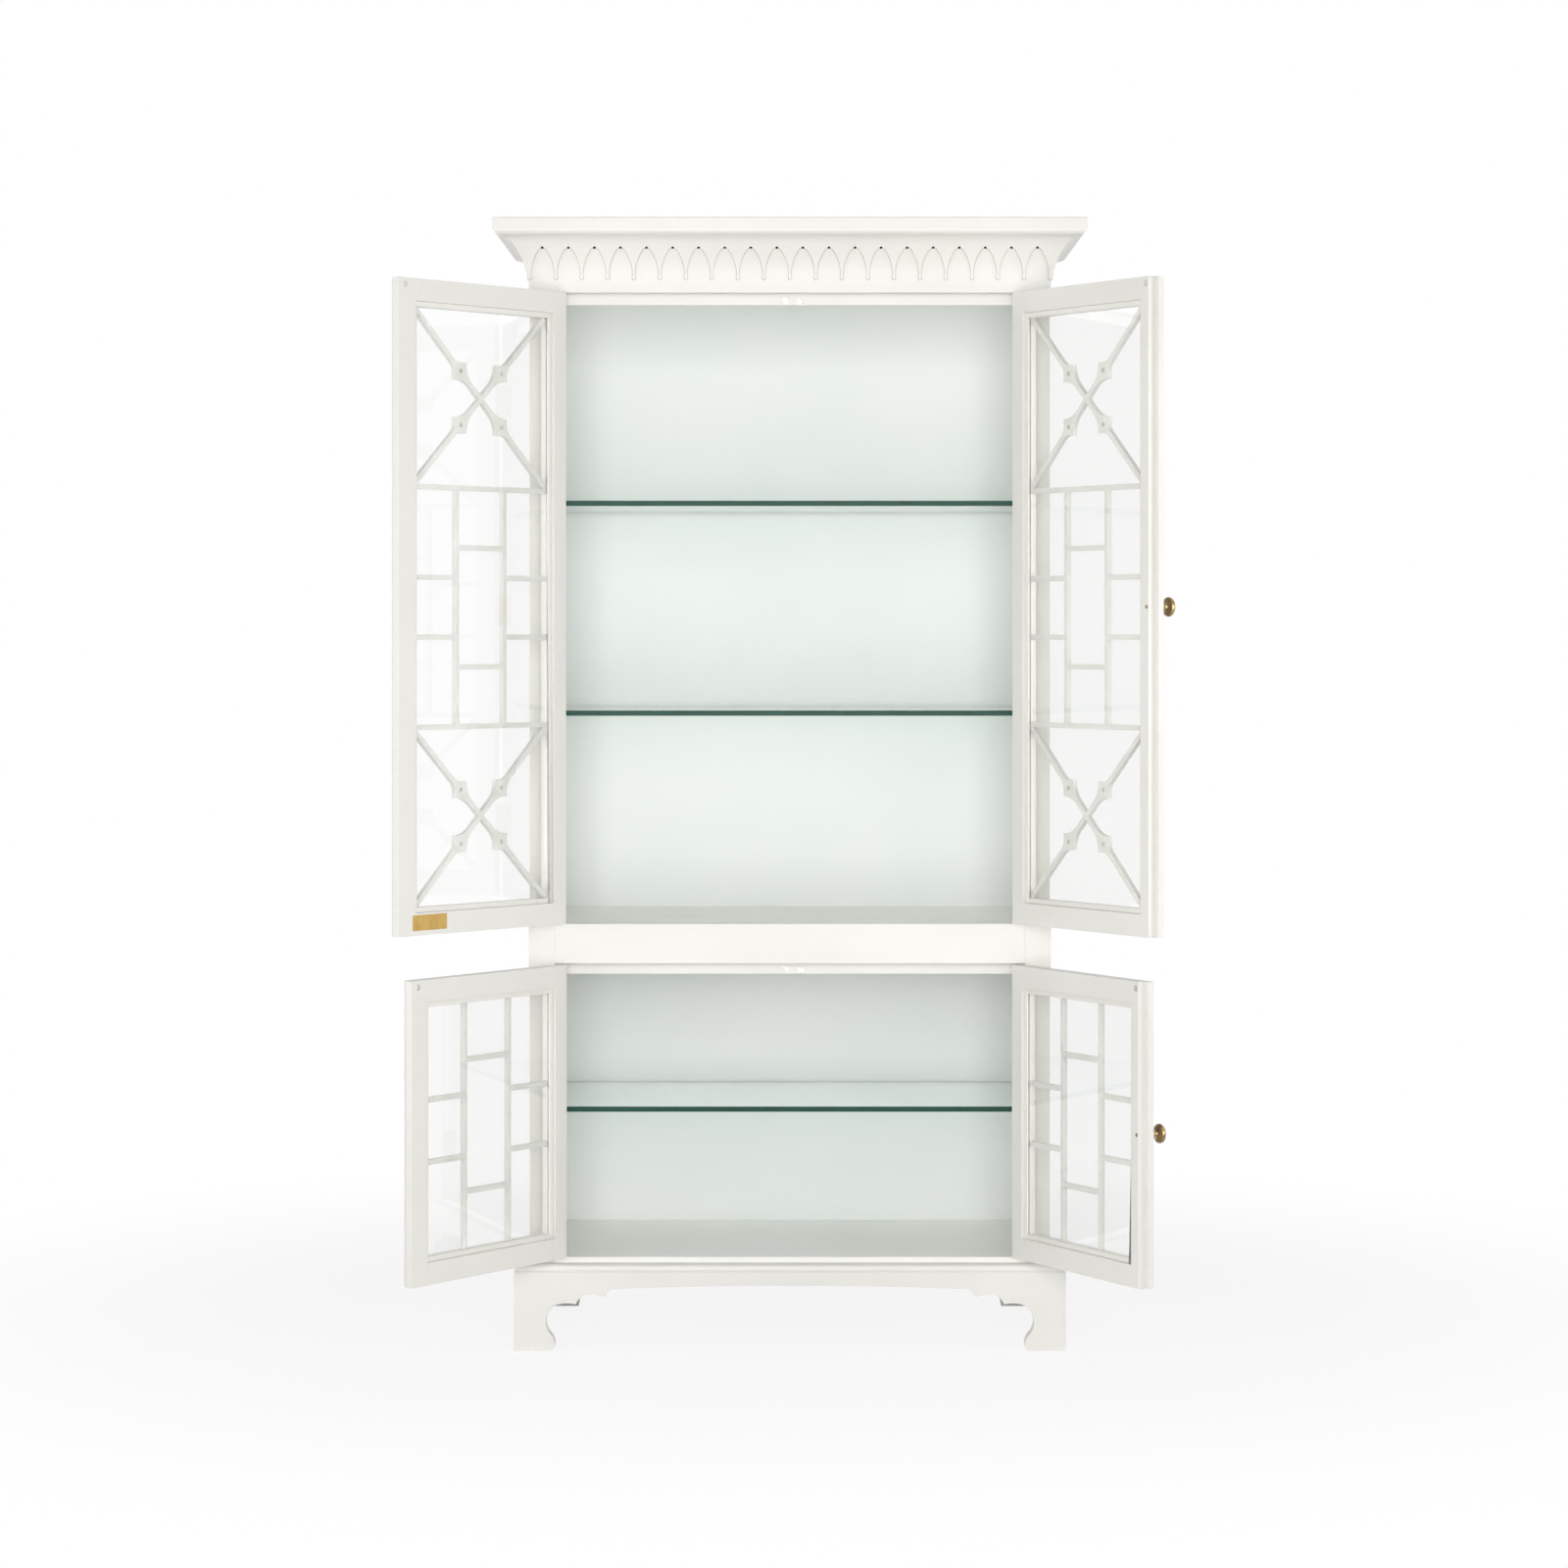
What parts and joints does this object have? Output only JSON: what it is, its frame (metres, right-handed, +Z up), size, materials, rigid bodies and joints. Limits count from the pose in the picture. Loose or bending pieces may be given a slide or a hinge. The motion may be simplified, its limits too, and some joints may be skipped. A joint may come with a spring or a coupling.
{
  "type": "glazed book cabinet",
  "caption": "Tall painted book cabinet with fretwork glazed doors above and below, glass shelves, Gothic arcade cornice and bracket feet.",
  "frame": {"origin": "middle of the rear face at floor level, where the wall meets the floor", "axes": "+X to the right seen from the front, +Y into the wall, +Z up"},
  "size_m": [1.4287, 0.9225, 2.152],
  "materials": {
    "front_paint": "off-white satin paint on wood",
    "case_paint": "warm white satin paint on wood",
    "back_paint": "pale celadon satin paint on wood",
    "lattice_paint": "pale grey-green satin paint on wood",
    "pane_glass": "clear polished",
    "shelf_glass": "clear polished, green at the edges",
    "hinge_brass": "satin",
    "aged_brass": "aged",
    "plate_brass": "satin",
    "steel": "satin"
  },
  "bodies": {
    "cabinet": {"base_front": "front_paint", "base_left": "front_paint", "base_right": "front_paint", "base_rear": "front_paint", "base_moulding": "front_paint", "bottom_board": "case_paint", "left_side_panel": "case_paint", "right_side_panel": "case_paint", "back_panel": "back_paint", "upper_floor": "case_paint", "top_board": "case_paint", "face_stiles": "front_paint", "waist_rail": "front_paint", "frieze_rail": "front_paint", "door_stops": "front_paint", "catches": "steel", "crown_board": "front_paint", "crown_moulding": "front_paint", "gothic_arcade": "front_paint", "lower_shelf": "shelf_glass", "middle_shelf": "shelf_glass", "upper_shelf": "shelf_glass", "shelf_clips": "steel", "frame_hinge_leaves": "hinge_brass"},
    "upper_left_door": {"upper_left_hinge_stile": "front_paint", "upper_left_meeting_stile": "front_paint", "upper_left_rails": "front_paint", "upper_left_lattice": "lattice_paint", "upper_left_glass": "pane_glass", "upper_left_glazing_bead": "front_paint", "upper_left_hinge_leaves": "hinge_brass", "upper_left_strike": "steel", "name_plate": "plate_brass"},
    "upper_right_door": {"upper_right_hinge_stile": "front_paint", "upper_right_meeting_stile": "front_paint", "upper_right_rails": "front_paint", "upper_right_lattice": "lattice_paint", "upper_right_glass": "pane_glass", "upper_right_glazing_bead": "front_paint", "upper_right_hinge_leaves": "hinge_brass", "upper_right_strike": "steel", "upper_knob": "aged_brass"},
    "lower_left_door": {"lower_left_hinge_stile": "front_paint", "lower_left_meeting_stile": "front_paint", "lower_left_rails": "front_paint", "lower_left_lattice": "lattice_paint", "lower_left_glass": "pane_glass", "lower_left_glazing_bead": "front_paint", "lower_left_hinge_leaves": "hinge_brass", "lower_left_strike": "steel"},
    "lower_right_door": {"lower_right_hinge_stile": "front_paint", "lower_right_meeting_stile": "front_paint", "lower_right_rails": "front_paint", "lower_right_lattice": "lattice_paint", "lower_right_glass": "pane_glass", "lower_right_glazing_bead": "front_paint", "lower_right_hinge_leaves": "hinge_brass", "lower_right_strike": "steel", "lower_knob": "aged_brass"}
  },
  "joints": [
    {"name": "upper_left_hinge", "type": "hinge", "parent": "cabinet", "child": "upper_left_door", "pos_m": [-0.448, -0.5235, 1.412], "axis": [0, 0, 1], "range_deg": [-41.2, 128.8]},
    {"name": "upper_right_hinge", "type": "hinge", "parent": "cabinet", "child": "upper_right_door", "pos_m": [0.448, -0.5235, 1.412], "axis": [0, 0, -1], "range_deg": [-48.5, 121.5]},
    {"name": "lower_left_hinge", "type": "hinge", "parent": "cabinet", "child": "lower_left_door", "pos_m": [-0.448, -0.5235, 0.454], "axis": [0, 0, 1], "range_deg": [-45, 125]},
    {"name": "lower_right_hinge", "type": "hinge", "parent": "cabinet", "child": "lower_right_door", "pos_m": [0.448, -0.5235, 0.454], "axis": [0, 0, -1], "range_deg": [-51.3, 118.7]}
  ]
}
